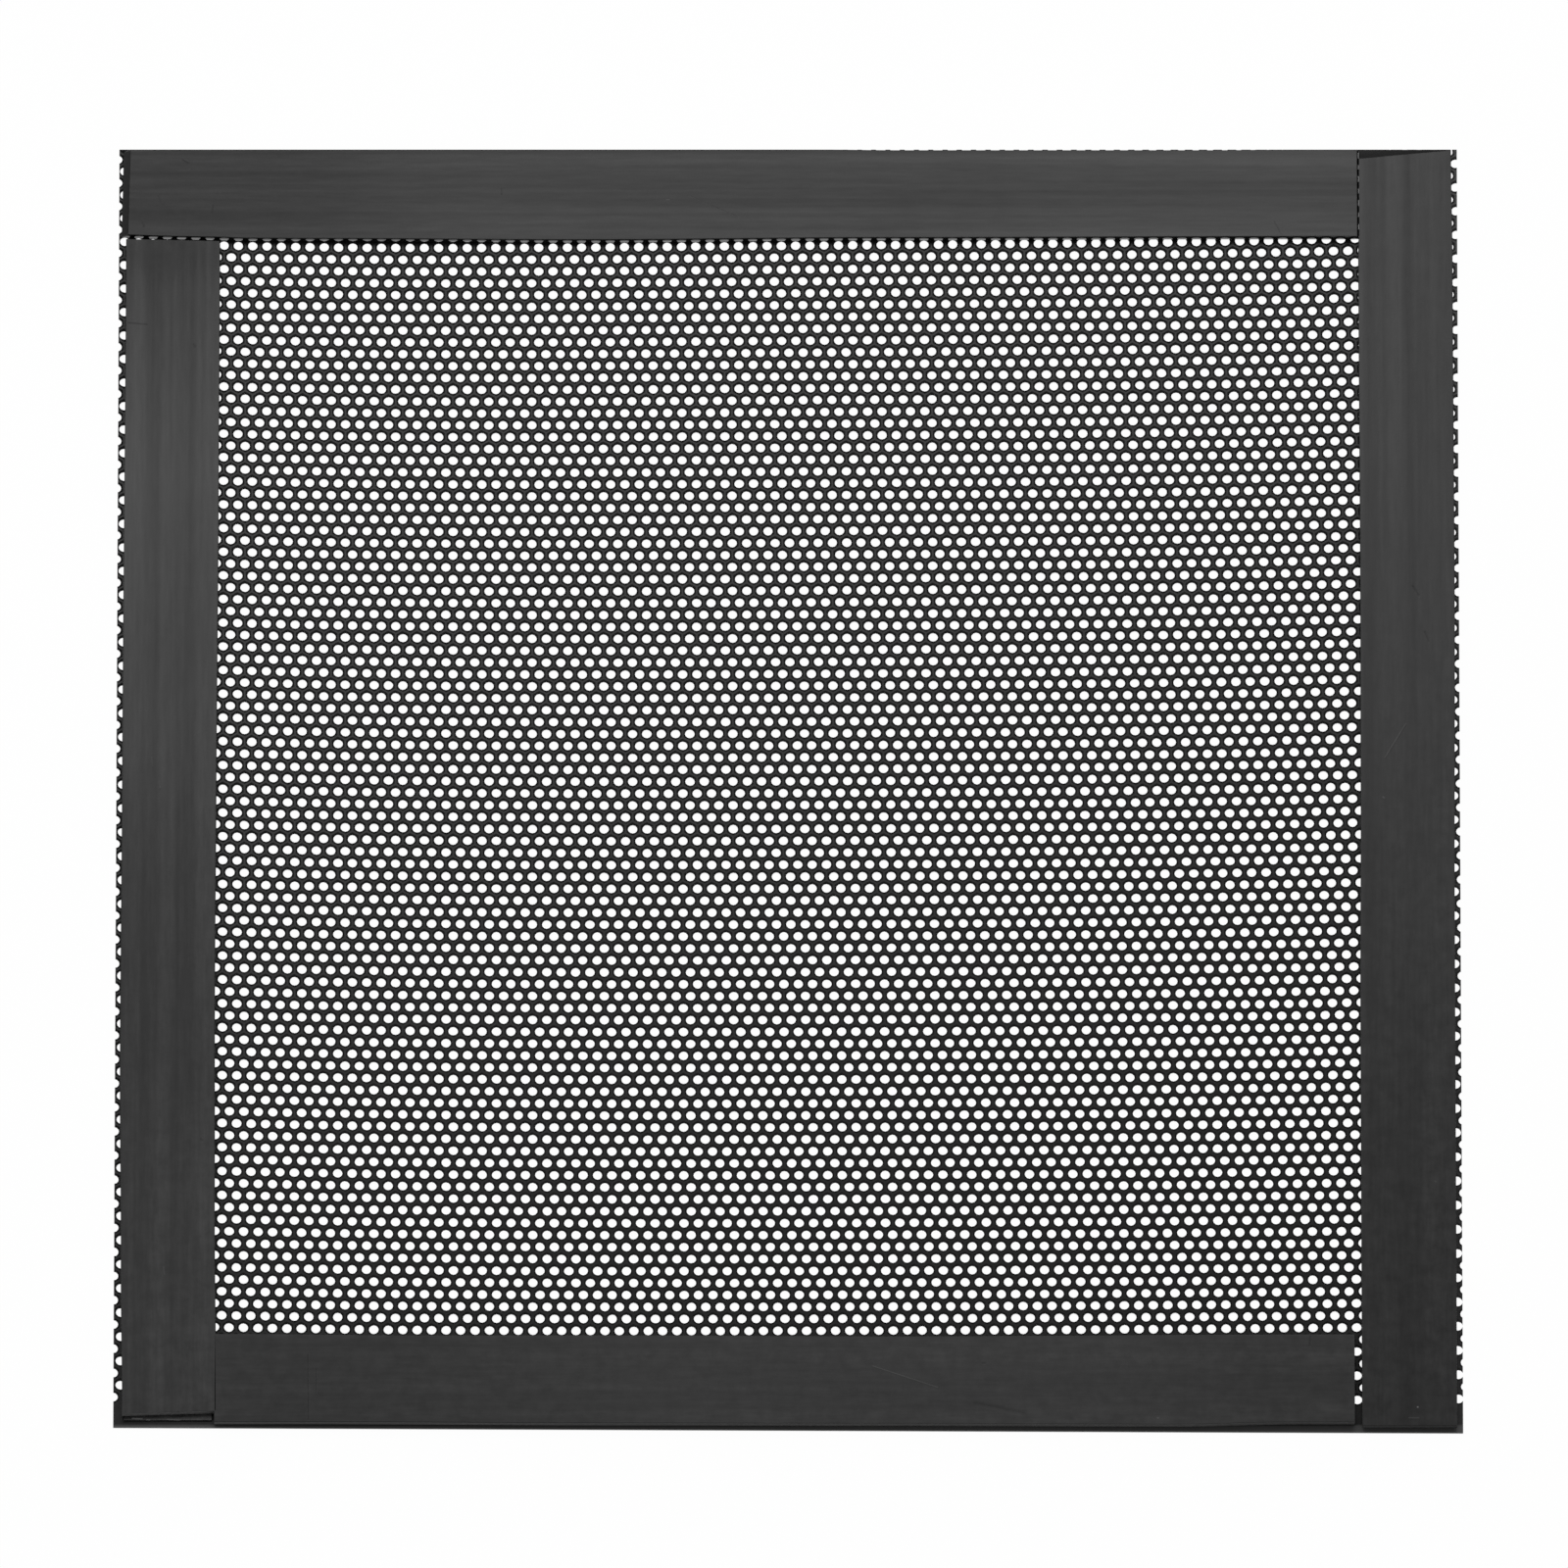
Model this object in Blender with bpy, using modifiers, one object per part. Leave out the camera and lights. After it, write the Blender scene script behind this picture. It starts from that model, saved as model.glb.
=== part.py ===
"""A square dust filter for a computer fan, in metres and +Z up.

A thin perforated plastic sheet carries a flexible magnet strip along each edge, and an
adhesive film bonds each strip to the sheet. The filter lies flat with the bare side of
the sheet on the ground and the magnets up. The origin is on the ground under the middle
of the sheet, +X runs to the right strip and +Y to the top strip.
"""

import math

import bmesh
import bpy
from mathutils import Vector

# Sheet
SHEET_SIDE = 0.140
SHEET_THICKNESS = 0.0003
# The lower edge is cut askew, so the left side is this much shorter than the right one.
LOWER_EDGE_SKEW = 0.0007

# Strips
STRIP_WIDTH = 0.0095
STRIP_THICKNESS = 0.0010
STRIP_EDGE_RADIUS = 0.0001

# Sheet left showing outside each strip's long edge
TOP_REVEAL = 0.0006
RIGHT_REVEAL = 0.00075
BOTTOM_REVEAL = 0.0009
LEFT_REVEAL = 0.0009

# Sheet left showing past the ends of the strips that reach the outline
TOP_STRIP_END_REVEAL = 0.0005
RIGHT_STRIP_FOOT_REVEAL = 0.0004
LEFT_STRIP_FOOT_REVEAL = 0.0017

# Seams where a strip's end meets the side of the next strip
TOP_RIGHT_SEAM = 0.0003
TOP_LEFT_SEAM = 0.0003
BOTTOM_LEFT_SEAM = 0.0003
BOTTOM_RIGHT_SEAM = 0.00095

# Strip ends that were cut by hand
TOP_STRIP_END_SLOPE = 0.0007
TOP_STRIP_TAPER = 0.0005
TOP_STRIP_TAPER_LENGTH = 0.0125
RIGHT_STRIP_TOP_SKEW = 0.00045
LEFT_STRIP_FOOT_SKEW = 0.0003

# Adhesive films
FILM_THICKNESS = 0.0002
FILM_CLEARANCE = 0.00005
FILM_INSET = 0.0002
LEFT_FILM_OVERRUN = 0.0006

# Heights over the ground of the undersides of the films and strips
FILM_FOOT = SHEET_THICKNESS + FILM_CLEARANCE
STRIP_FOOT = FILM_FOOT + FILM_THICKNESS + FILM_CLEARANCE

# The real perforation is round holes in staggered rows. It is too fine to cut here, so the
# sheet has larger gaps of the same form and the same open share.
REAL_HOLE_DIAMETER = 0.00104
REAL_HOLE_PITCH = 0.0015
GAP_PITCH = 0.0112
GAP_SIDES = 12
GAP_TO_STRIP = 0.0010

COLLECTION_NAME = "fan_dust_filter"


def clear_scene():
    for obj in list(bpy.data.objects):
        bpy.data.objects.remove(obj)


def make_material(name, color, roughness):
    material = bpy.data.materials.new(name)
    material.use_nodes = True
    shader = material.node_tree.nodes["Principled BSDF"]
    shader.inputs["Base Color"].default_value = (*color, 1.0)
    shader.inputs["Roughness"].default_value = roughness
    shader.inputs["Metallic"].default_value = 0.0
    return material


def add_object(name, data, material, collection):
    obj = bpy.data.objects.new(name, data)
    data.materials.append(material)
    collection.objects.link(obj)
    return obj


def add_outline(curve, points):
    """Adds one closed straight-sided outline to a flat curve."""
    spline = curve.splines.new("POLY")
    spline.points.add(len(points) - 1)
    for place, (x, y) in zip(spline.points, points):
        place.co = (x, y, 0.0, 1.0)
    spline.use_cyclic_u = True


def circle_points(centre_x, centre_y, radius, sides):
    turns = [2 * math.pi * step / sides for step in range(sides)]
    return [(centre_x + radius * math.cos(turn), centre_y + radius * math.sin(turn)) for turn in turns]


def gap_centres(low_x, high_x, low_y, high_y, radius):
    """Centres of the staggered gaps that fit in the window between the strips."""
    row_pitch = GAP_PITCH * math.sqrt(3) / 2
    clear = GAP_TO_STRIP + radius
    room_x = high_x - low_x - 2 * clear - GAP_PITCH / 2
    room_y = high_y - low_y - 2 * clear
    columns = int(room_x / GAP_PITCH) + 1
    rows = int(room_y / row_pitch) + 1
    middle_x = (low_x + high_x) / 2
    middle_y = (low_y + high_y) / 2
    centres = []
    for row in range(rows):
        stagger = GAP_PITCH / 4 if row % 2 else -GAP_PITCH / 4
        y = middle_y + (row - (rows - 1) / 2) * row_pitch
        for column in range(columns):
            x = middle_x + (column - (columns - 1) / 2) * GAP_PITCH + stagger
            centres.append((x, y))
    return centres


def make_sheet(window, material, collection):
    """The sheet is a flat outline with its gaps, given its thickness by an extrusion."""
    curve = bpy.data.curves.new("perforated_sheet", "CURVE")
    curve.dimensions = "2D"
    curve.fill_mode = "BOTH"
    curve.extrude = SHEET_THICKNESS / 2
    half = SHEET_SIDE / 2
    corners = [(-half, -half + LOWER_EDGE_SKEW), (half, -half), (half, half), (-half, half)]
    add_outline(curve, corners)
    radius = GAP_PITCH * REAL_HOLE_DIAMETER / REAL_HOLE_PITCH / 2
    for x, y in gap_centres(*window, radius):
        add_outline(curve, circle_points(x, y, radius, GAP_SIDES))
    sheet = add_object("perforated_sheet", curve, material, collection)
    sheet.location.z = SHEET_THICKNESS / 2
    return sheet


def block(low, high):
    """A box between two opposite corners, as an open bmesh."""
    mesh = bmesh.new()
    bmesh.ops.create_cube(mesh, size=1.0)
    size = Vector(high) - Vector(low)
    bmesh.ops.scale(mesh, vec=size, verts=mesh.verts)
    bmesh.ops.translate(mesh, vec=(Vector(low) + Vector(high)) / 2, verts=mesh.verts)
    return mesh


def trim(mesh, through, outward):
    """Cuts off what lies on the outward side of a plane and closes the cut."""
    cut = bmesh.ops.bisect_plane(
        mesh,
        geom=mesh.verts[:] + mesh.edges[:] + mesh.faces[:],
        plane_co=through,
        plane_no=outward,
        clear_outer=True,
    )
    rim = [item for item in cut["geom_cut"] if isinstance(item, bmesh.types.BMEdge)]
    bmesh.ops.contextual_create(mesh, geom=rim)
    bmesh.ops.recalc_face_normals(mesh, faces=mesh.faces)


def finish_block(name, mesh, material, collection):
    data = bpy.data.meshes.new(name)
    mesh.to_mesh(data)
    mesh.free()
    return add_object(name, data, material, collection)


def make_strip(name, box, trims, material, collection):
    """A flat magnet strip over box (low x, high x, low y, high y) with its ends trimmed."""
    low_x, high_x, low_y, high_y = box
    mesh = block((low_x, low_y, STRIP_FOOT), (high_x, high_y, STRIP_FOOT + STRIP_THICKNESS))
    for through, outward in trims:
        trim(mesh, through, outward)
    strip = finish_block(name, mesh, material, collection)
    edges = strip.modifiers.new("worn_edges", "BEVEL")
    edges.width = STRIP_EDGE_RADIUS
    edges.segments = 2
    edges.limit_method = "ANGLE"
    return strip


def make_film(name, box, trims, material, collection):
    """An adhesive film under a strip, over the strip's box less the inset."""
    low_x, high_x, low_y, high_y = box
    low = (low_x + FILM_INSET, low_y + FILM_INSET, FILM_FOOT)
    high = (high_x - FILM_INSET, high_y - FILM_INSET, FILM_FOOT + FILM_THICKNESS)
    mesh = block(low, high)
    for through, outward in trims:
        trim(mesh, through, outward)
    return finish_block(name, mesh, material, collection)


def main():
    clear_scene()
    collection = bpy.data.collections.new(COLLECTION_NAME)
    bpy.context.scene.collection.children.link(collection)

    black_plastic = make_material("black_plastic", (0.02, 0.02, 0.02), 0.5)
    magnet_rubber = make_material("magnet_rubber", (0.045, 0.045, 0.045), 0.6)
    clear_adhesive = make_material("clear_adhesive", (0.03, 0.03, 0.03), 0.2)

    half = SHEET_SIDE / 2
    outer_left = -half + LEFT_REVEAL
    outer_right = half - RIGHT_REVEAL
    outer_bottom = -half + BOTTOM_REVEAL
    outer_top = half - TOP_REVEAL
    inner_left = outer_left + STRIP_WIDTH
    inner_right = outer_right - STRIP_WIDTH
    inner_bottom = outer_bottom + STRIP_WIDTH
    inner_top = outer_top - STRIP_WIDTH

    top_end = -half + TOP_STRIP_END_REVEAL
    right_foot = -half + RIGHT_STRIP_FOOT_REVEAL
    left_foot = -half + LEFT_STRIP_FOOT_REVEAL
    strip_boxes = {
        "top": (top_end, inner_right - TOP_RIGHT_SEAM, inner_top, outer_top),
        "right": (inner_right, outer_right, right_foot, outer_top),
        "bottom": (
            inner_left + BOTTOM_LEFT_SEAM,
            inner_right - BOTTOM_RIGHT_SEAM,
            outer_bottom,
            inner_bottom,
        ),
        "left": (outer_left, inner_left, left_foot, inner_top - TOP_LEFT_SEAM),
    }

    # Planes that trim the ends, each as a point and the direction that is cut away
    end_slope = (
        (top_end, inner_top, STRIP_FOOT),
        (-STRIP_THICKNESS, 0.0, TOP_STRIP_END_SLOPE),
    )
    end_taper = (
        (top_end + TOP_STRIP_TAPER_LENGTH, inner_top, STRIP_FOOT),
        (-TOP_STRIP_TAPER, -TOP_STRIP_TAPER_LENGTH, 0.0),
    )
    top_skew = (
        (outer_right, outer_top, STRIP_FOOT),
        (-RIGHT_STRIP_TOP_SKEW, STRIP_WIDTH, 0.0),
    )
    foot_skew = (
        (outer_left, left_foot, STRIP_FOOT),
        (LEFT_STRIP_FOOT_SKEW, -STRIP_WIDTH, 0.0),
    )
    strip_trims = {
        "top": [end_slope, end_taper],
        "right": [top_skew],
        "bottom": [],
        "left": [foot_skew],
    }
    film_trims = {"top": [end_taper], "right": [top_skew], "bottom": [], "left": []}

    make_sheet((inner_left, inner_right, inner_bottom, inner_top), black_plastic, collection)
    for side, box in strip_boxes.items():
        make_strip(f"magnet_strip_{side}", box, strip_trims[side], magnet_rubber, collection)
        low_x, high_x, low_y, high_y = box
        overrun = LEFT_FILM_OVERRUN if side == "left" else 0.0
        film_box = (low_x, high_x, low_y - overrun, high_y)
        make_film(f"adhesive_film_{side}", film_box, film_trims[side], clear_adhesive, collection)


main()
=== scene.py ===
"""Looks of a square dust filter for a computer fan, in metres and +Z up.

A thin, finely perforated plastic sheet with a flexible magnet strip bonded along each edge.
"""

import math

import bmesh
import bpy
from mathutils import Matrix, Vector, noise


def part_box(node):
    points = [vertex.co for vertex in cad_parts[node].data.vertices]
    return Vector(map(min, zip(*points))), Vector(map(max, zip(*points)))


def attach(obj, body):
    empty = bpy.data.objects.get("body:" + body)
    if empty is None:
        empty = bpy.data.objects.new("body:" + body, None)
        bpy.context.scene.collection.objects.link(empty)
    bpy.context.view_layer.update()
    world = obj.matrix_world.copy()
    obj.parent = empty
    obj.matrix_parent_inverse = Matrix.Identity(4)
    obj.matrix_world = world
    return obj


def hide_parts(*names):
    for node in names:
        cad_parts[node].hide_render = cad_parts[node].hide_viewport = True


MM = 0.001

# Camera
CAMERA_LENS = 962.8
CAMERA_SENSOR = 36.0
CAMERA_DISTANCE = 4.370
CAMERA_TILT = math.radians(17.26)
CAMERA_AIM = Vector((-0.43, 0.55, 0.0)) * MM

# Light
SOFTBOX_SIZE = (0.60, 0.10)
SOFTBOX_PLACE = Vector((-0.02, 0.158, 0.350))
SOFTBOX_TURN = math.radians(10.0)
SOFTBOX_POWER = 0.92
ROOM_LIGHT = 0.45

# Floor
FLOOR_HALF = 3.0
FLOOR_DROP = 0.05 * MM
# Share of the floor's white that no shadow dims
FLOOR_GLOW = 0.978

# Perforated sheet
SHEET_HALF = 70.0 * MM
SHEET_THICKNESS = 0.3 * MM
LOWER_EDGE_SKEW = 0.6 * MM
HOLE_RADIUS = 0.505 * MM
# This hole of the top row would open into the corner of the sheet, and is closed
CLOSED_HOLE = Vector((-69.36, 70.19, 0.0)) * MM
CLOSED_HOLE_REACH = 1.2 * HOLE_RADIUS
HOLE_PITCH = 1.5 * MM
ROW_PITCH = HOLE_PITCH * math.sqrt(3) / 2
HOLE_SIDES = 12
HOLE_COLUMNS = 95
FIRST_HOLE_X = -47.5 * HOLE_PITCH
# Rows of holes in each band of the sheet, counted down from the top edge. The middle row of
# the lattice is TOP_ROW rows below the first one.
BAND_ROWS = (22, 22, 22, 22, 20)
TOP_ROW = 55
RIM_UNEVENNESS = 0.035 * MM
RIM_SEED = 1
RIM_GRAIN = 0.8 * MM
# Points of neighbouring cells that are closer than this become one
WELD_DISTANCE = 0.02 * MM
# The lower margin is made longer by this, and then trimmed
TRIM_ALLOWANCE = 2.0 * MM
# Edges of the sheet with a greater angle than this, in radians, are shaded sharp
SHARP_ANGLE = 0.9
# In the UV map, the free margin round the sheet and how far the holes' walls fold inwards
MAP_MARGIN = 0.4 * MM
MAP_FOLD = 0.2 * MM
# Painted light on the margins outside the strips, which lifts the strips' shade there, and from where
# to where it sets in
RIGHT_PAINTED_LIGHT = 0.018
RIGHT_PAINTED_LIGHT_RANGE = (69.0 * MM, 69.4 * MM)
LOWER_PAINTED_LIGHT = 0.055
LOWER_PAINTED_LIGHT_RANGE = (-69.05 * MM, -69.30 * MM)
UPPER_SIDE_RANGE = (0.25 * MM, 0.29 * MM)

# Magnet strips
STRIP_WIDTH = 9.5 * MM
STRIP_THICKNESS = 1.0 * MM
STRIP_FOOT = 0.6 * MM
EDGE_ROUNDING = 0.07 * MM
# Edges of a strip with a greater angle than this, in radians, are rounded
CORNER_ANGLE = 0.5
# Cuts along a strip, which let its long edges wander
STRIP_CUTS = 60
# Faces are shaded flat where their normal has more than this share upwards or downwards
LEVEL_SHARE = 0.995
# Faces count as cut through where their normal passes these shares
CUT_HIGH_END = 0.5
CUT_LOW_END = -0.8
# Streaks in the rubber are this many times longer than wide
STREAK_STRETCH = 9.0

# Ends of the top strip
TOP_STRIP_END_REACH = 0.25 * MM
TOP_STRIP_END_SLOPE = 0.7 * MM
TOP_STRIP_END_SKEW = 0.019
TOP_STRIP_TAPER = 0.5 * MM
TOP_STRIP_TAPER_LENGTH = 12.5 * MM
TOP_SEAM_X = 59.695 * MM
TOP_SEAM_LEAN = 0.14

# Top end of the right strip, with a bevelled wedge and a slanted end
RIGHT_STRIP_INNER_X = 59.75 * MM
RIGHT_STRIP_BEVEL_Y = 68.62 * MM
RIGHT_STRIP_BEVEL_SLOPE = 1.2
RIGHT_STRIP_TOP_SKEW = 0.097
RIGHT_STRIP_SLANT_Y = 69.58 * MM
RIGHT_STRIP_TOP_SLANT = 0.3

# Ends of the left strip
LEFT_STRIP_FOOT_SKEW = 0.3 * MM
LEFT_STRIP_HEAD_REACH = 0.14 * MM
LEFT_STRIP_HEAD_SKEW = 0.018

# Noise lies mostly between these values, told narrowly and widely
NOISE_MIDDLE = (0.35, 0.65)
NOISE_SPAN = (0.3, 0.7)
# No tone of the strips is darker than this
DARKEST_TONE = 0.002

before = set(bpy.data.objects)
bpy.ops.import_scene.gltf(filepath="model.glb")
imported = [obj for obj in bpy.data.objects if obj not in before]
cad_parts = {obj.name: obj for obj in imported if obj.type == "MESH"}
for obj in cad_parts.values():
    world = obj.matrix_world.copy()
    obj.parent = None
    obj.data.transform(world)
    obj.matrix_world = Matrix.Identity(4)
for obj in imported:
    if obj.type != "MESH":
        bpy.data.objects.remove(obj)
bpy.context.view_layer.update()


# Materials


def new_material(name):
    material = bpy.data.materials.new(name)
    material.use_nodes = True
    return material, material.node_tree, material.node_tree.nodes["Principled BSDF"]


def object_place(tree, scale=(1.0, 1.0, 1.0), shift=(0.0, 0.0, 0.0), turn=0.0):
    """A place on the object, moved, turned about Z and scaled."""
    place = tree.nodes.new("ShaderNodeTexCoord")
    mapping = tree.nodes.new("ShaderNodeMapping")
    mapping.vector_type = "POINT"
    mapping.inputs["Location"].default_value = shift
    mapping.inputs["Rotation"].default_value = (0.0, 0.0, turn)
    mapping.inputs["Scale"].default_value = scale
    tree.links.new(place.outputs["Object"], mapping.inputs["Vector"])
    return mapping.outputs["Vector"]


def grain(tree, place, scale, detail, roughness):
    """Noise from 0 to 1 at a place."""
    texture = tree.nodes.new("ShaderNodeTexNoise")
    texture.inputs["Scale"].default_value = scale
    texture.inputs["Detail"].default_value = detail
    texture.inputs["Roughness"].default_value = roughness
    tree.links.new(place, texture.inputs["Vector"])
    return texture.outputs["Fac"]


def spread(tree, value, low, high, to_low, to_high):
    """Maps the range low to high onto to_low to to_high."""
    ramp = tree.nodes.new("ShaderNodeMapRange")
    ramp.inputs["From Min"].default_value = low
    ramp.inputs["From Max"].default_value = high
    ramp.inputs["To Min"].default_value = to_low
    ramp.inputs["To Max"].default_value = to_high
    tree.links.new(value, ramp.inputs["Value"])
    return ramp.outputs["Result"]


def combine(tree, operation, first, second):
    node = tree.nodes.new("ShaderNodeMath")
    node.operation = operation
    for socket, value in zip(node.inputs, (first, second)):
        if isinstance(value, (int, float)):
            socket.default_value = value
        else:
            tree.links.new(value, socket)
    return node.outputs["Value"]


def grey_colour(tree, value):
    """Turns a lightness into a grey."""
    colour = tree.nodes.new("ShaderNodeCombineColor")
    for socket in colour.inputs:
        tree.links.new(value, socket)
    return colour.outputs["Color"]


def add_bump(tree, shader, height, distance):
    bump = tree.nodes.new("ShaderNodeBump")
    bump.inputs["Strength"].default_value = 1.0
    bump.inputs["Distance"].default_value = distance
    tree.links.new(height, bump.inputs["Height"])
    tree.links.new(bump.outputs["Normal"], shader.inputs["Normal"])


def streak_mask(tree, start, end, width):
    """1 on a short line from start to end, fading to 0 at its sides and ends."""
    start = Vector(start) * MM
    end = Vector(end) * MM
    along = end - start
    length = max(along.length, 0.01 * MM)
    turn = -math.atan2(along.y, along.x)
    middle = Matrix.Rotation(turn, 2) @ ((start + end) / 2)
    place = object_place(tree, shift=(-middle.x, -middle.y, 0.0), turn=turn)
    split = tree.nodes.new("ShaderNodeSeparateXYZ")
    tree.links.new(place, split.inputs["Vector"])
    far_x = combine(tree, "ABSOLUTE", split.outputs["X"], 0.0)
    far_y = combine(tree, "ABSOLUTE", split.outputs["Y"], 0.0)
    half = length / 2
    reach = spread(tree, far_x, half, half + width * MM, 1.0, 0.0)
    beside = spread(tree, far_y, 0.0, width * MM, 1.0, 0.0)
    return combine(tree, "MULTIPLY", reach, beside)


def painted_tone_along(tree, along, painted_tones):
    """Base tone with painted light and shade by the place along a strip, from (place in mm, tone)
    pairs in rising order.
    """
    split = tree.nodes.new("ShaderNodeSeparateXYZ")
    tree.links.new(object_place(tree), split.inputs["Vector"])
    low, high = painted_tones[0][0], painted_tones[-1][0]
    place = spread(tree, split.outputs[along.upper()], low * MM, high * MM, 0.0, 1.0)
    ramp = tree.nodes.new("ShaderNodeValToRGB")
    tree.links.new(place, ramp.inputs["Fac"])
    stops = ramp.color_ramp.elements
    for stop, (_, tone) in zip(stops, (painted_tones[0], painted_tones[-1])):
        stop.color = (tone, tone, tone, 1.0)
    for position, tone in painted_tones[1:-1]:
        stop = stops.new((position - low) / (high - low))
        stop.color = (tone, tone, tone, 1.0)
    return ramp.outputs["Color"]


def magnet_rubber(name, along, painted_tones, contrast, side_shade, cut_gloss, marks):
    """Calendered magnet rubber with fine streaks along the strip, faint mottling and marks, on a base
    tone with painted light and shade along the strip.

    along is the axis that the strip runs on. The cut sides keep the given share of their tone, as
    painted shade, and are smoother by cut_gloss. Marks are (start, end, width, lighter) in mm.
    """
    material, tree, shader = new_material(name)
    along_share = 1.0 / STREAK_STRETCH
    streak_scale = (along_share, 1.0, 1.0) if along == "x" else (1.0, along_share, 1.0)
    band_scale = tuple(share * share for share in streak_scale)
    streaks = grain(tree, object_place(tree, scale=streak_scale), 2300.0, 3.0, 0.6)
    bands = grain(tree, object_place(tree, scale=band_scale), 520.0, 3.0, 0.6)
    mottle = grain(tree, object_place(tree), 600.0, 5.0, 0.62)
    cloud = grain(tree, object_place(tree), 40.0, 2.0, 0.5)

    light = spread(tree, streaks, *NOISE_MIDDLE, 0.86, 1.14)
    light = combine(tree, "MULTIPLY", light, spread(tree, bands, *NOISE_MIDDLE, 0.74, 1.26))
    light = combine(tree, "MULTIPLY", light, spread(tree, mottle, *NOISE_MIDDLE, 0.82, 1.18))
    light = combine(tree, "MULTIPLY", light, spread(tree, cloud, *NOISE_MIDDLE, 0.90, 1.10))
    light = combine(tree, "MULTIPLY", combine(tree, "SUBTRACT", light, 1.0), contrast)
    # The base tone along the strip, with painted light and shade
    light = combine(tree, "ADD", light, painted_tone_along(tree, along, painted_tones))
    height = combine(tree, "ADD", streaks, combine(tree, "MULTIPLY", mottle, 0.6))
    for start, end, width, lighter in marks:
        mark = streak_mask(tree, start, end, width)
        light = combine(tree, "ADD", light, combine(tree, "MULTIPLY", mark, lighter))
        dent = combine(tree, "MULTIPLY", mark, 2.0 if lighter > 0 else -2.0)
        height = combine(tree, "ADD", height, dent)

    # The cut sides, darkened as painted shade
    surface = tree.nodes.new("ShaderNodeNewGeometry")
    facing = tree.nodes.new("ShaderNodeSeparateXYZ")
    tree.links.new(surface.outputs["True Normal"], facing.inputs["Vector"])
    side = spread(tree, combine(tree, "ABSOLUTE", facing.outputs["Z"], 0.0), 0.62, 0.85, 1.0, 0.0)
    light = combine(tree, "MULTIPLY", light, spread(tree, side, 0.0, 1.0, 1.0, side_shade))
    light = combine(tree, "MAXIMUM", light, DARKEST_TONE)
    tree.links.new(grey_colour(tree, light), shader.inputs["Base Color"])
    gloss = spread(tree, mottle, *NOISE_MIDDLE, 0.31, 0.36)
    gloss = combine(tree, "ADD", gloss, spread(tree, bands, *NOISE_MIDDLE, 0.03, -0.03))
    gloss = combine(tree, "SUBTRACT", gloss, combine(tree, "MULTIPLY", side, cut_gloss))
    tree.links.new(gloss, shader.inputs["Roughness"])
    shader.inputs["Specular IOR Level"].default_value = 0.21
    add_bump(tree, shader, height, 0.004 * MM)
    return material


def cut_rubber(name, along, painted_tones):
    """Matt rubber where a strip was cut through, in tones given along the strip: the rubber's dark
    tone with painted light that lifts the shade on these sides.
    """
    material, tree, shader = new_material(name)
    crumbs = grain(tree, object_place(tree), 2600.0, 3.0, 0.6)
    tone = painted_tone_along(tree, along, painted_tones)
    light = combine(tree, "MULTIPLY", spread(tree, crumbs, *NOISE_SPAN, 0.8, 1.2), tone)
    tree.links.new(grey_colour(tree, light), shader.inputs["Base Color"])
    tree.links.new(spread(tree, crumbs, *NOISE_SPAN, 0.55, 0.65), shader.inputs["Roughness"])
    shader.inputs["Specular IOR Level"].default_value = 0.05
    add_bump(tree, shader, crumbs, 0.01 * MM)
    return material


def black_plastic():
    """Satin plastic of the perforated sheet, with painted shade and more roughness where the punch
    rolled the rims over, and painted light on the margins outside the strips.
    """
    material, tree, shader = new_material("black_plastic")
    rim = tree.nodes.new("ShaderNodeAttribute")
    rim.attribute_name = "rim"
    grit = grain(tree, object_place(tree), 1500.0, 4.0, 0.6)
    cloud = grain(tree, object_place(tree), 45.0, 2.0, 0.5)
    # Painted shade: the base darkens towards the hole rims, standing for the shading of rounded rims;
    # the rims are rougher too
    rim_shade_and_dullness = spread(tree, rim.outputs["Fac"], 0.20, 0.60, 0.0, 1.0)
    light = spread(tree, grit, *NOISE_SPAN, 0.003, 0.008)
    light = combine(tree, "MULTIPLY", light, spread(tree, cloud, *NOISE_SPAN, 0.93, 1.07))
    light = combine(tree, "MULTIPLY", light, spread(tree, rim_shade_and_dullness, 0.0, 1.0, 1.0, 0.08))
    split = tree.nodes.new("ShaderNodeSeparateXYZ")
    tree.links.new(object_place(tree), split.inputs["Vector"])
    # Painted light: the right and lower margins are lightened on their upper side, lifting the shade
    # next to the strips
    margin_light = combine(
        tree,
        "ADD",
        spread(tree, split.outputs["X"], *RIGHT_PAINTED_LIGHT_RANGE, 0.0, RIGHT_PAINTED_LIGHT),
        spread(tree, split.outputs["Y"], *LOWER_PAINTED_LIGHT_RANGE, 0.0, LOWER_PAINTED_LIGHT),
    )
    upper_side = spread(tree, split.outputs["Z"], *UPPER_SIDE_RANGE, 0.0, 1.0)
    light = combine(tree, "ADD", light, combine(tree, "MULTIPLY", margin_light, upper_side))
    tree.links.new(grey_colour(tree, light), shader.inputs["Base Color"])
    gloss = spread(tree, grit, *NOISE_SPAN, 0.28, 0.34)
    gloss = combine(tree, "ADD", gloss, combine(tree, "MULTIPLY", rim_shade_and_dullness, 0.50))
    tree.links.new(gloss, shader.inputs["Roughness"])
    shader.inputs["Specular IOR Level"].default_value = 0.19
    add_bump(tree, shader, grit, 0.003 * MM)
    return material


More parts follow.
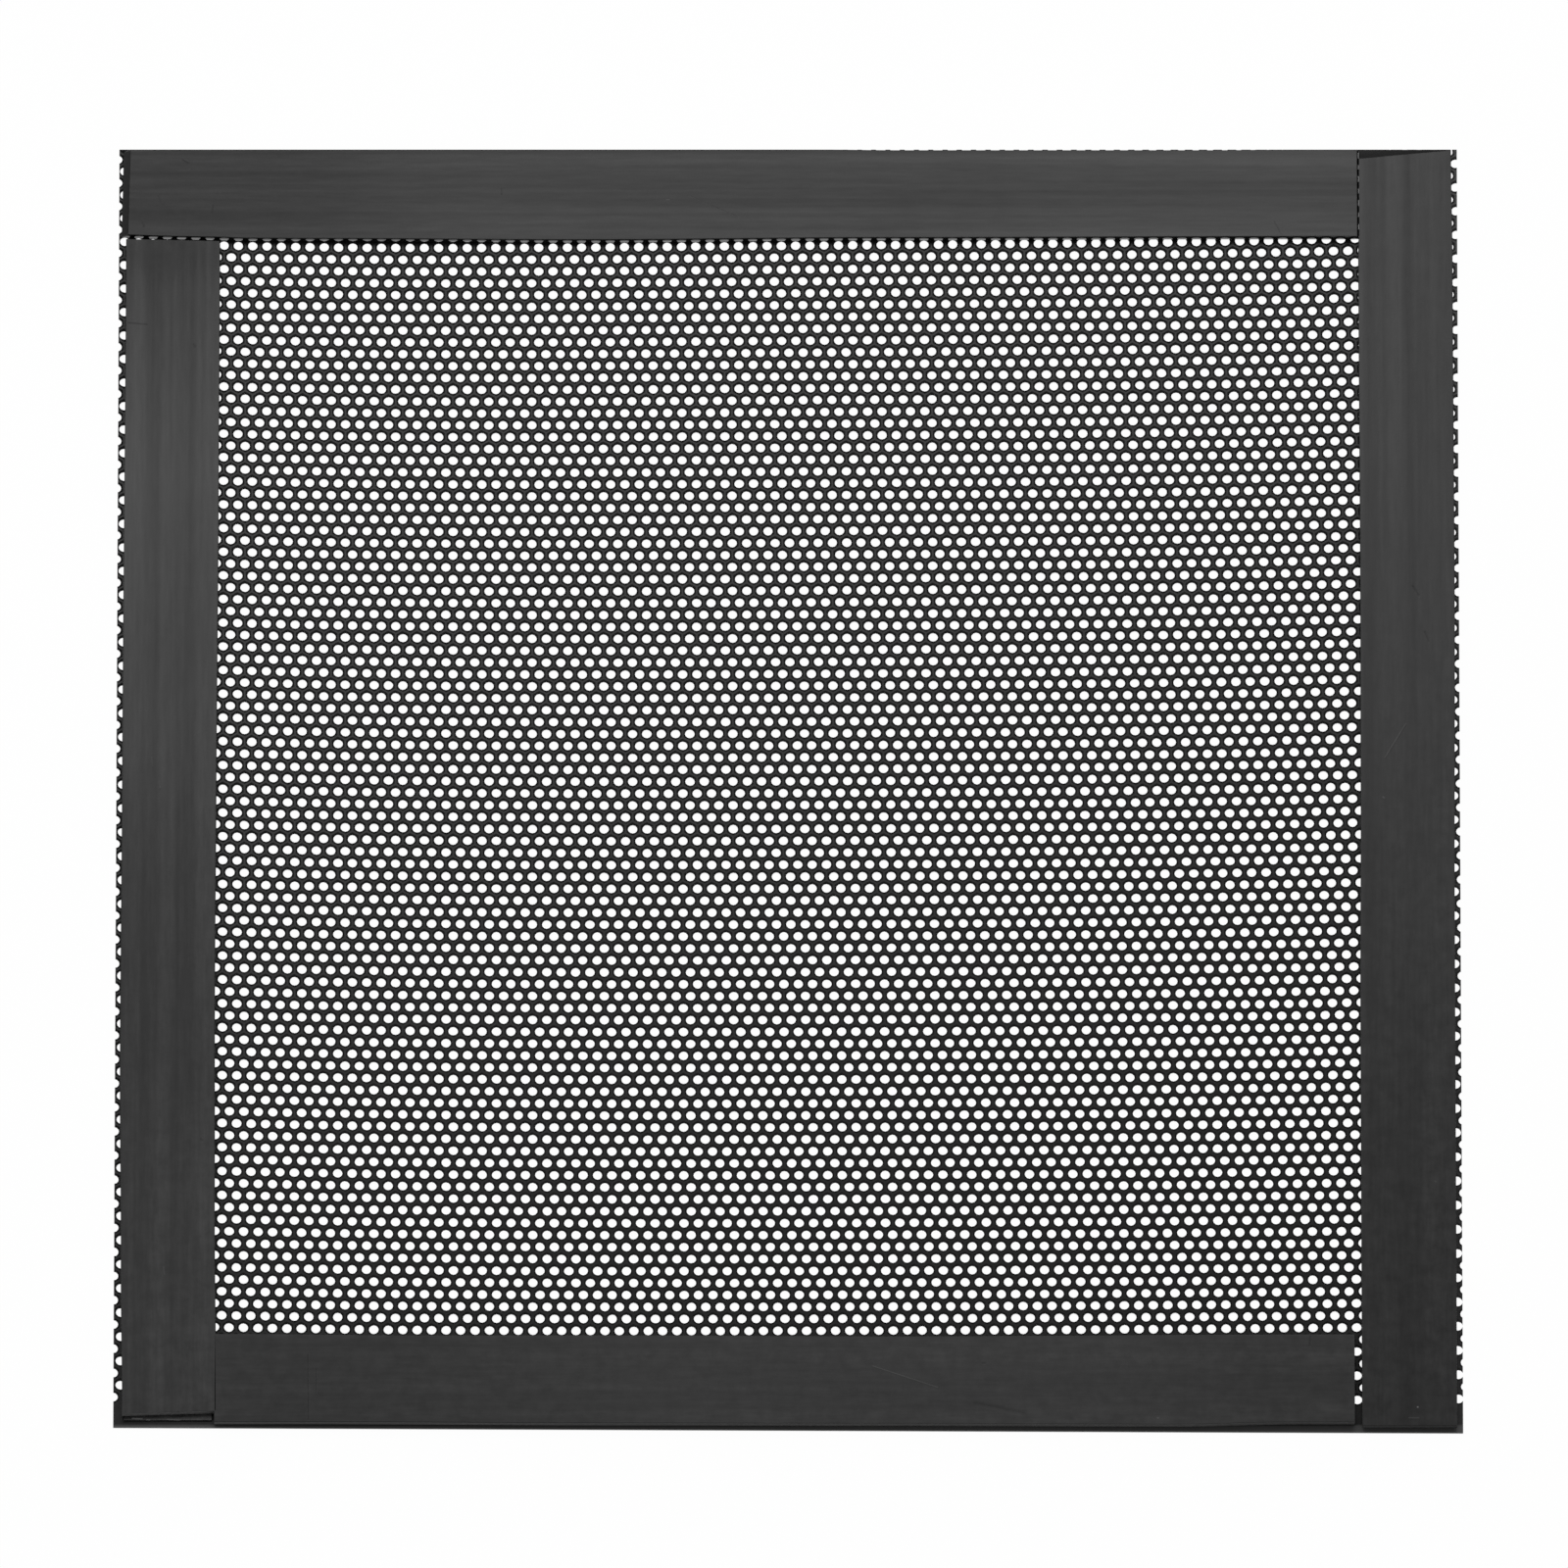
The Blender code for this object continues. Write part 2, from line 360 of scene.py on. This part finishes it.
def film_adhesive():
    """Dark, shiny, slightly uneven adhesive, with painted glints where light catches its wrinkles at
    the left strip's foot.
    """
    material, tree, shader = new_material("film_adhesive")
    wave = grain(tree, object_place(tree), 900.0, 3.0, 0.5)
    light = spread(tree, wave, *NOISE_SPAN, 0.014, 0.026)
    # Painted glints: pale marks where light catches the adhesive's wrinkles
    painted_glints = (
        ((-68.0, -68.52), (-67.0, -68.56), 0.10, 0.16),
        ((-66.5, -68.68), (-66.2, -68.68), 0.10, 0.12),
        ((-64.4, -68.62), (-63.1, -68.70), 0.08, 0.08),
    )
    for start, end, width, lighter in painted_glints:
        mark = streak_mask(tree, start, end, width)
        light = combine(tree, "ADD", light, combine(tree, "MULTIPLY", mark, lighter))
    tree.links.new(grey_colour(tree, light), shader.inputs["Base Color"])
    tree.links.new(spread(tree, wave, *NOISE_SPAN, 0.12, 0.28), shader.inputs["Roughness"])
    shader.inputs["Coat Weight"].default_value = 0.4
    shader.inputs["Coat Roughness"].default_value = 0.15
    add_bump(tree, shader, wave, 0.02 * MM)
    return material


def seen_directly(tree):
    """1 for rays that show the background: from the camera, in a gloss or through glass."""
    rays = tree.nodes.new("ShaderNodeLightPath")
    seen = combine(tree, "ADD", rays.outputs["Is Camera Ray"], rays.outputs["Is Glossy Ray"])
    seen = combine(tree, "ADD", seen, rays.outputs["Is Transmission Ray"])
    return combine(tree, "MINIMUM", seen, 1.0)


def pale_floor():
    """White floor, nearly shadowless as on a light table, that keeps a faint contact shadow."""
    material, tree, shader = new_material("pale_floor")
    shader.inputs["Base Color"].default_value = (0.85, 0.85, 0.85, 1.0)
    shader.inputs["Roughness"].default_value = 0.9
    glow = tree.nodes.new("ShaderNodeEmission")
    glow.inputs["Color"].default_value = (1.0, 1.0, 1.0, 1.0)
    glow.inputs["Strength"].default_value = 1.0
    mix = tree.nodes.new("ShaderNodeMixShader")
    tree.links.new(combine(tree, "MULTIPLY", seen_directly(tree), FLOOR_GLOW), mix.inputs["Fac"])
    tree.links.new(shader.outputs["BSDF"], mix.inputs[1])
    tree.links.new(glow.outputs["Emission"], mix.inputs[2])
    tree.links.new(mix.outputs["Shader"], tree.nodes["Material Output"].inputs["Surface"])
    return material


# Helpers for pieces


def finish_piece(name, mesh, material, node):
    """Puts a bmesh in the scene as a piece that stands for a CAD node."""
    data = bpy.data.meshes.new(name)
    mesh.to_mesh(data)
    mesh.free()
    data.materials.append(material)
    piece = bpy.data.objects.new(name, data)
    bpy.context.scene.collection.objects.link(piece)
    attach(piece, "root")
    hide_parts(node)
    return piece


def trim(mesh, through, outward, close=True):
    """Cuts off what lies on the outward side of a plane."""
    cut = bmesh.ops.bisect_plane(
        mesh,
        geom=mesh.verts[:] + mesh.edges[:] + mesh.faces[:],
        plane_co=through,
        plane_no=outward,
        clear_outer=True,
    )
    if close:
        rim = [item for item in cut["geom_cut"] if isinstance(item, bmesh.types.BMEdge)]
        bmesh.ops.contextual_create(mesh, geom=rim)
        bmesh.ops.recalc_face_normals(mesh, faces=mesh.faces)


# Perforated sheet


def perforated_cell(mesh, centre):
    """One hole with the hexagon of web round it."""
    rim = bmesh.ops.create_circle(mesh, segments=HOLE_SIDES, radius=HOLE_RADIUS)["verts"]
    web = bmesh.ops.create_circle(mesh, segments=HOLE_SIDES, radius=HOLE_PITCH / math.sqrt(3))["verts"]
    bmesh.ops.scale(mesh, vec=Vector((1.0, 1.0, 1.0)) * math.cos(math.pi / 6), verts=web[1::2])
    loops = list(dict.fromkeys(edge for vert in rim + web for edge in vert.link_edges))
    bmesh.ops.bridge_loops(mesh, edges=loops)
    bmesh.ops.translate(mesh, vec=centre, verts=rim + web)
    layer = mesh.verts.layers.float["rim"]
    for vert in rim:
        vert[layer] = 1.0


def stray(place):
    """Where a point of the ideal lattice lies on the sheet, whose rows bow and run askew.

    The strays are in mm, as measured 60 mm from the middle.
    """
    x, y = place.x / MM, place.y / MM
    across, up = x / 60.0, y / 60.0
    lean = 0.23 - 0.20 * up - 0.25 * across - 0.06 * across * up + 0.035 * across**4 * up
    squeeze = 0.093 * across**2 + 0.37 * across**3 - 0.155 * across**5
    turn = 0.80 + 0.275 * across + 0.09 * up + 0.20 * across * up - 0.157 * across**3
    bow = 0.31 * across**2 + 0.315 * across**4 + 0.12 * up**2 - 0.22 * (across * up) ** 2
    fan = 0.07 * across * up**2 - 0.163 * across**2 * up + 0.182 * across**4 * up
    return Vector((x + lean + squeeze, y + turn + bow + fan, 0.0)) * MM


def lay_sheet_map(mesh, box):
    """A UV map with the top over the underside, and each hole's wall folded into the hole."""
    layer = mesh.loops.layers.uv.new("OFBake")
    low_x, high_x, low_y, high_y = box
    for face in mesh.faces:
        below = face.normal.z < -0.5
        wall = abs(face.normal.z) < 0.5
        for loop in face.loops:
            place = loop.vert.co.copy()
            if wall and place.z < SHEET_THICKNESS / 2:
                outward = loop.vert.normal.to_2d().to_3d()
                place += outward.normalized() * MAP_FOLD
            u = (place.x - low_x + MAP_MARGIN) / (high_x - low_x + 2 * MAP_MARGIN)
            v = (place.y - low_y + MAP_MARGIN) / (high_y - low_y + 2 * MAP_MARGIN)
            loop[layer].uv = (u, v / 2 if below else 0.5 + v / 2)


def perforated_band(index, first_row, rows, material):
    """Rows of holes across the whole sheet, as one closed piece."""
    cell = bmesh.new()
    cell.verts.layers.float.new("rim")
    perforated_cell(cell, (0.0, 0.0, 0.0))
    perforated_cell(cell, (HOLE_PITCH / 2, -ROW_PITCH, 0.0))
    data = bpy.data.meshes.new("cell_pair")
    cell.to_mesh(data)
    cell.free()
    pair = bpy.data.objects.new("cell_pair", data)
    bpy.context.scene.collection.objects.link(pair)
    for axis, count, step in (("x", HOLE_COLUMNS, HOLE_PITCH), ("y", rows // 2, -2 * ROW_PITCH)):
        repeat = pair.modifiers.new(f"repeat_{axis}", "ARRAY")
        repeat.count = count
        repeat.use_relative_offset = False
        repeat.use_constant_offset = True
        repeat.constant_offset_displace = (step, 0.0, 0.0) if axis == "x" else (0.0, step, 0.0)
    graph = bpy.context.evaluated_depsgraph_get()
    mesh = bmesh.new()
    mesh.from_object(pair, graph)
    bpy.data.objects.remove(pair)
    bmesh.ops.remove_doubles(mesh, verts=mesh.verts, dist=WELD_DISTANCE)
    rim_layer = mesh.verts.layers.float["rim"]

    last_band = index == len(BAND_ROWS) - 1
    start = Vector((FIRST_HOLE_X, (TOP_ROW - first_row) * ROW_PITCH, 0.0))
    bmesh.ops.translate(mesh, vec=start, verts=mesh.verts)
    if last_band:
        foot = start.y - (rows - 1) * ROW_PITCH - HOLE_PITCH / 4
        lower = [
            edge
            for edge in mesh.edges
            if edge.is_boundary
            and max(vert.co.y for vert in edge.verts) < foot + WELD_DISTANCE
            and all(vert[rim_layer] < 0.5 for vert in edge.verts)
        ]
        margin = bmesh.ops.extrude_edge_only(mesh, edges=lower)["geom"]
        for item in margin:
            if isinstance(item, bmesh.types.BMVert):
                item.co.y = -SHEET_HALF - TRIM_ALLOWANCE
    for vert in mesh.verts:
        place = stray(vert.co)
        if vert[rim_layer] > 0.5:
            place += noise.noise_vector(place / RIM_GRAIN).to_2d().to_3d() * RIM_UNEVENNESS
        vert.co = place

    if index == 0:
        rim = [
            edge
            for edge in mesh.edges
            if all((vert.co - CLOSED_HOLE).length < CLOSED_HOLE_REACH for vert in edge.verts)
        ]
        bmesh.ops.contextual_create(mesh, geom=rim)
    half = SHEET_HALF
    trim(mesh, (half, 0.0, 0.0), (1.0, 0.0, 0.0), close=False)
    trim(mesh, (-half, 0.0, 0.0), (-1.0, 0.0, 0.0), close=False)
    trim(mesh, (0.0, half, 0.0), (0.0, 1.0, 0.0), close=False)
    if last_band:
        trim(mesh, (half, -half, 0.0), (-LOWER_EDGE_SKEW, -2 * half, 0.0), close=False)
    bmesh.ops.recalc_face_normals(mesh, faces=mesh.faces)
    mesh.normal_update()
    if mesh.faces[:][0].normal.z > 0:
        bmesh.ops.reverse_faces(mesh, faces=mesh.faces)
    outline = [edge for edge in mesh.edges if edge.is_boundary]
    for edge in outline:
        edge.seam = any(vert[rim_layer] < 0.5 for vert in edge.verts)
    bmesh.ops.solidify(mesh, geom=mesh.faces[:], thickness=-SHEET_THICKNESS)
    low = min(vert.co.z for vert in mesh.verts)
    bmesh.ops.translate(mesh, vec=(0.0, 0.0, -low), verts=mesh.verts)
    bmesh.ops.recalc_face_normals(mesh, faces=mesh.faces)
    mesh.normal_update()
    for face in mesh.faces:
        face.smooth = True
    for edge in mesh.edges:
        if edge.calc_face_angle(0.0) > SHARP_ANGLE:
            edge.smooth = False
    ys = [vert.co.y for vert in mesh.verts]
    lay_sheet_map(mesh, (-half, half, min(ys), max(ys)))
    name = f"perforated_band_{index + 1}"
    finish_piece(name, mesh, material, "perforated_sheet")


def make_sheet(material):
    noise.seed_set(RIM_SEED)
    first_row = 0
    for index, rows in enumerate(BAND_ROWS):
        perforated_band(index, first_row, rows, material)
        first_row += rows


# Magnet strips


def stray_at(position, strays):
    """Sideways stray of a hand-laid edge, from (place along the strip, stray) pairs in mm."""
    place = position / MM
    if place <= strays[0][0]:
        return strays[0][1] * MM
    for (start, before), (end, after) in zip(strays, strays[1:]):
        if place <= end:
            share = (place - start) / (end - start)
            share = share * share * (3 - 2 * share)
            return (before + (after - before) * share) * MM
    return strays[-1][1] * MM


def magnet_strip(side, along, reach, strays_low, strays_high, trims, material, cut_material):
    """A flat strip with rounded long edges that wander a little, and hand-cut ends.

    Its ends reach past the solid's by reach, and then the planes in trims cut them.
    """
    low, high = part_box(f"magnet_strip_{side}")
    low, high = Vector(low), Vector(high)
    run = 0 if along == "x" else 1
    low[run] -= reach[0]
    high[run] += reach[1]
    mesh = bmesh.new()
    bmesh.ops.create_cube(mesh, size=1.0)
    bmesh.ops.scale(mesh, vec=high - low, verts=mesh.verts)
    bmesh.ops.translate(mesh, vec=(low + high) / 2, verts=mesh.verts)
    long_edges = [
        edge
        for edge in mesh.edges
        if abs(edge.verts[0].co[run] - edge.verts[1].co[run]) > STRIP_WIDTH * 2
    ]
    bmesh.ops.subdivide_edges(mesh, edges=long_edges, cuts=STRIP_CUTS, use_grid_fill=True)
    for through, outward in trims:
        trim(mesh, through, outward)
    corners = [edge for edge in mesh.edges if edge.calc_face_angle(0.0) > CORNER_ANGLE]
    bmesh.ops.bevel(
        mesh,
        geom=corners,
        offset=EDGE_ROUNDING,
        offset_type="OFFSET",
        affect="EDGES",
        segments=3,
        profile=0.5,
        material=-1,
    )
    cross = 1 - run
    width = high[cross] - low[cross]
    for vert in mesh.verts:
        share = (vert.co[cross] - low[cross]) / width
        position = vert.co[run]
        vert.co[cross] += (1 - share) * stray_at(position, strays_low)
        vert.co[cross] += share * stray_at(position, strays_high)
    mesh.normal_update()
    for face in mesh.faces:
        face.smooth = abs(face.normal.z) < LEVEL_SHARE
        outer_foot = side != "top" and face.normal.y < CUT_LOW_END
        if outer_foot or face.normal[run] > CUT_HIGH_END or face.normal[run] < CUT_LOW_END:
            face.material_index = 1
    piece = finish_piece(f"magnet_{side}", mesh, material, f"magnet_strip_{side}")
    piece.data.materials.append(cut_material)


def make_strips():
    top_low, top_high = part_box("magnet_strip_top")
    _, right_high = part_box("magnet_strip_right")
    left_low, left_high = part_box("magnet_strip_left")
    end_slope = (
        (top_low[0] - TOP_STRIP_END_REACH, top_low[1], STRIP_FOOT),
        (-STRIP_THICKNESS, TOP_STRIP_END_SKEW * STRIP_THICKNESS, TOP_STRIP_END_SLOPE),
    )
    end_taper = (
        (top_low[0] + TOP_STRIP_TAPER_LENGTH, top_low[1], STRIP_FOOT),
        (-TOP_STRIP_TAPER, -TOP_STRIP_TAPER_LENGTH, 0.0),
    )
    seam_cut = ((TOP_SEAM_X, top_high[1], STRIP_FOOT), (1.0, 0.0, TOP_SEAM_LEAN))
    top_bevel = (
        (RIGHT_STRIP_INNER_X, RIGHT_STRIP_BEVEL_Y, right_high[2]),
        (-RIGHT_STRIP_TOP_SKEW, 1.0, RIGHT_STRIP_BEVEL_SLOPE),
    )
    top_slant = (
        (RIGHT_STRIP_INNER_X, RIGHT_STRIP_SLANT_Y, right_high[2]),
        (0.0, 1.0, RIGHT_STRIP_TOP_SLANT),
    )
    foot_skew = (
        (left_low[0], left_low[1], STRIP_FOOT),
        (LEFT_STRIP_FOOT_SKEW, -STRIP_WIDTH, 0.0),
    )
    head_skew = (
        (left_low[0], left_high[1] + LEFT_STRIP_HEAD_REACH, STRIP_FOOT),
        (LEFT_STRIP_HEAD_SKEW, 1.0, 0.0),
    )
    top_marks = (
        ((-10.4, 64.5), (-5.2, 62.1), 0.10, 0.012),
        ((-12.7, 64.1), (-12.5, 64.1), 0.14, 0.03),
        ((-30.0, 65.3), (-30.0, 64.7), 0.14, -0.012),
        ((-65.9, 64.6), (-65.4, 63.6), 0.16, -0.010),
        ((-60.2, 63.5), (-60.3, 62.7), 0.14, -0.012),
        ((-67.6, 61.9), (-67.4, 61.2), 0.18, -0.010),
        ((-63.4, 68.6), (-62.8, 68.2), 0.14, -0.008),
        ((50.9, 61.6), (51.6, 60.2), 0.12, -0.014),
        ((13.0, 65.0), (13.1, 65.0), 0.14, 0.010),
        ((22.0, 63.2), (22.1, 63.2), 0.12, 0.012),
        ((54.8, 60.6), (55.0, 60.7), 0.12, 0.020),
    )
    left_marks = (
        ((-62.1, 48.2), (-62.0, 48.0), 0.22, -0.014),
        ((-69.0, 50.6), (-67.0, 50.4), 0.14, -0.010),
        ((-61.0, -38.6), (-60.9, -38.8), 0.18, -0.012),
        ((-66.3, 3.0), (-66.2, 2.0), 0.10, 0.012),
        ((-65.5, 0.4), (-65.4, -0.4), 0.10, 0.012),
        ((-64.8, -52.5), (-64.7, -53.3), 0.10, 0.014),
    )
    right_marks = (
        ((64.4, 6.6), (62.2, 2.9), 0.10, 0.012),
        ((62.0, -1.4), (62.1, -1.5), 0.14, 0.03),
        ((65.2, 21.6), (65.8, 20.6), 0.20, -0.010),
        ((66.4, 16.6), (66.8, 15.6), 0.18, -0.010),
        ((67.2, -43.2), (67.3, -43.3), 0.14, 0.010),
        ((65.27, -67.6), (65.3, -67.6), 0.12, 0.16),
        ((64.4, -68.8), (65.4, -68.8), 0.12, 0.015),
    )
    bottom_marks = (
        ((-49.8, -62.0), (-49.7, -69.0), 0.10, -0.010),
        ((-48.9, -63.5), (-48.9, -66.0), 0.08, -0.008),
        ((8.8, -63.2), (15.5, -65.5), 0.10, 0.010),
        ((19.5, -67.2), (24.5, -68.3), 0.35, -0.008),
        ((20.2, -62.9), (20.4, -62.9), 0.18, -0.010),
        ((54.2, -60.0), (54.1, -61.0), 0.18, -0.010),
        ((38.3, -68.8), (38.4, -68.8), 0.12, 0.030),
    )
    # Base tones along each strip, in mm and linear grey: the rubber's own dark tone with painted light
    # and shade that follow the lamp's sheen, lighter where it is strong and darker where it falls off
    top_painted_tones = (
        (-62, 0.0055),
        (-50, 0.0055),
        (-41, 0.011),
        (-31, 0.0145),
        (10, 0.016),
        (30, 0.0195),
        (51, 0.0225),
    )
    right_painted_tones = (
        (-60, 0.016),
        (-30, 0.016),
        (0, 0.018),
        (25, 0.014),
        (60, 0.013),
    )
    bottom_painted_tones = (
        (-54, 0.018),
        (-33, 0.022),
        (-13, 0.030),
        (38, 0.029),
        (49, 0.025),
    )
    left_painted_tones = (
        (-63, 0.022),
        (-42, 0.018),
        (-20, 0.009),
        (-8, 0.008),
        (11, 0.017),
        (33, 0.029),
        (54, 0.013),
        (58, 0.002),
    )
    # Each strip's cut rubber takes tones with painted light that lifts the shade on its cut sides,
    # most at the left strip's foot and along the bottom strip
    magnet_strip(
        "top",
        "x",
        (TOP_STRIP_END_REACH, 0.30 * MM),
        ((-67.0, -0.20), (-58.0, -0.06), (-51.0, -0.10), (-21.0, -0.25), (10.0, 0.0), (57.0, 0.12)),
        ((-60.0, 0.20), (4.0, 0.20), (11.0, 0.13), (45.0, 0.13), (51.0, 0.18)),
        (end_slope, end_taper, seam_cut),
        # The top strip's sides keep 0.35 of their tone, as painted shade
        magnet_rubber("magnet_rubber_top", "x", top_painted_tones, 0.025, 0.35, 0.22, top_marks),
        cut_rubber("cut_rubber_top", "x", ((-69, 0.020), (59, 0.010))),
    )
    magnet_strip(
        "right",
        "y",
        (0.0, 0.45 * MM),
        (
            (-69.0, -0.23),
            (-25.0, -0.23),
            (0.0, -0.10),
            (20.0, -0.06),
            (55.0, -0.12),
            (58.0, -0.14),
            (60.0, -0.05),
        ),
        ((-69.0, 0.12), (-15.0, 0.13), (22.0, 0.29), (58.0, 0.23), (69.0, 0.12)),
        (top_bevel, top_slant),
        magnet_rubber("magnet_rubber_right", "y", right_painted_tones, 0.018, 0.9, -0.1, right_marks),
        cut_rubber("cut_rubber_right", "y", ((-69, 0.027), (59, 0.013))),
    )
    magnet_strip(
        "bottom",
        "x",
        (0.24 * MM, -0.03 * MM),
        ((-51.0, -0.09), (-20.0, -0.22), (10.0, -0.27), (40.0, -0.36), (53.0, -0.11)),
        ((-57.0, -0.06), (-38.0, -0.22), (-20.0, -0.22), (10.0, -0.32), (57.0, -0.11)),
        (),
        magnet_rubber("magnet_rubber_bottom", "x", bottom_painted_tones, 0.018, 1.0, -0.1, bottom_marks),
        cut_rubber("cut_rubber_bottom", "x", ((-59, 0.060), (59, 0.060))),
    )
    magnet_strip(
        "left",
        "y",
        (0.0, LEFT_STRIP_HEAD_REACH),
        ((-68.0, 0.02), (-52.0, -0.18), (-30.0, -0.37), (0.0, -0.29), (57.0, -0.14)),
        ((-68.0, 0.28), (-45.0, 0.05), (-22.0, -0.02), (0.0, 0.04), (30.0, 0.15), (57.0, 0.19)),
        (foot_skew, head_skew),
        magnet_rubber("magnet_rubber_left", "y", left_painted_tones, 0.026, 0.9, -0.1, left_marks),
        cut_rubber("cut_rubber_left", "y", ((-68, 0.090), (59, 0.014))),
    )


# Adhesive


def make_adhesive(material):
    for side in ("top", "right", "bottom", "left"):
        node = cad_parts[f"adhesive_film_{side}"]
        node.data.materials.clear()
        node.data.materials.append(material)


# Floor, light and camera


def make_surroundings():
    mesh = bmesh.new()
    bmesh.ops.create_grid(mesh, x_segments=1, y_segments=1, size=FLOOR_HALF)
    data = bpy.data.meshes.new("floor")
    mesh.to_mesh(data)
    mesh.free()
    data.materials.append(pale_floor())
    floor = bpy.data.objects.new("floor", data)
    floor.location.z = -FLOOR_DROP
    bpy.context.scene.collection.objects.link(floor)

    world = bpy.data.worlds.new("pale_room")
    world.use_nodes = True
    tree = world.node_tree
    background = tree.nodes["Background"]
    background.inputs["Color"].default_value = (1.0, 1.0, 1.0, 1.0)
    background.inputs["Strength"].default_value = ROOM_LIGHT
    bpy.context.scene.world = world

    data = bpy.data.lights.new("softbox", "AREA")
    data.shape = "RECTANGLE"
    data.size, data.size_y = SOFTBOX_SIZE
    data.energy = SOFTBOX_POWER
    softbox = bpy.data.objects.new("softbox", data)
    softbox.location = SOFTBOX_PLACE
    aim = (-SOFTBOX_PLACE).to_track_quat("-Z", "Y").to_matrix()
    softbox.rotation_euler = (aim @ Matrix.Rotation(SOFTBOX_TURN, 3, "Z")).to_euler()
    bpy.context.scene.collection.objects.link(softbox)


def make_camera():
    data = bpy.data.cameras.new("photo_camera")
    data.lens = CAMERA_LENS
    data.sensor_width = CAMERA_SENSOR
    camera = bpy.data.objects.new("photo_camera", data)
    back = Vector((0.0, -math.sin(CAMERA_TILT), math.cos(CAMERA_TILT)))
    camera.location = CAMERA_AIM + back * CAMERA_DISTANCE
    camera.rotation_euler = (CAMERA_TILT, 0.0, 0.0)
    bpy.context.scene.collection.objects.link(camera)
    bpy.context.scene.camera = camera


make_camera()
make_surroundings()
make_sheet(black_plastic())
make_strips()
make_adhesive(film_adhesive())
bpy.context.scene.view_settings.view_transform = "Standard"
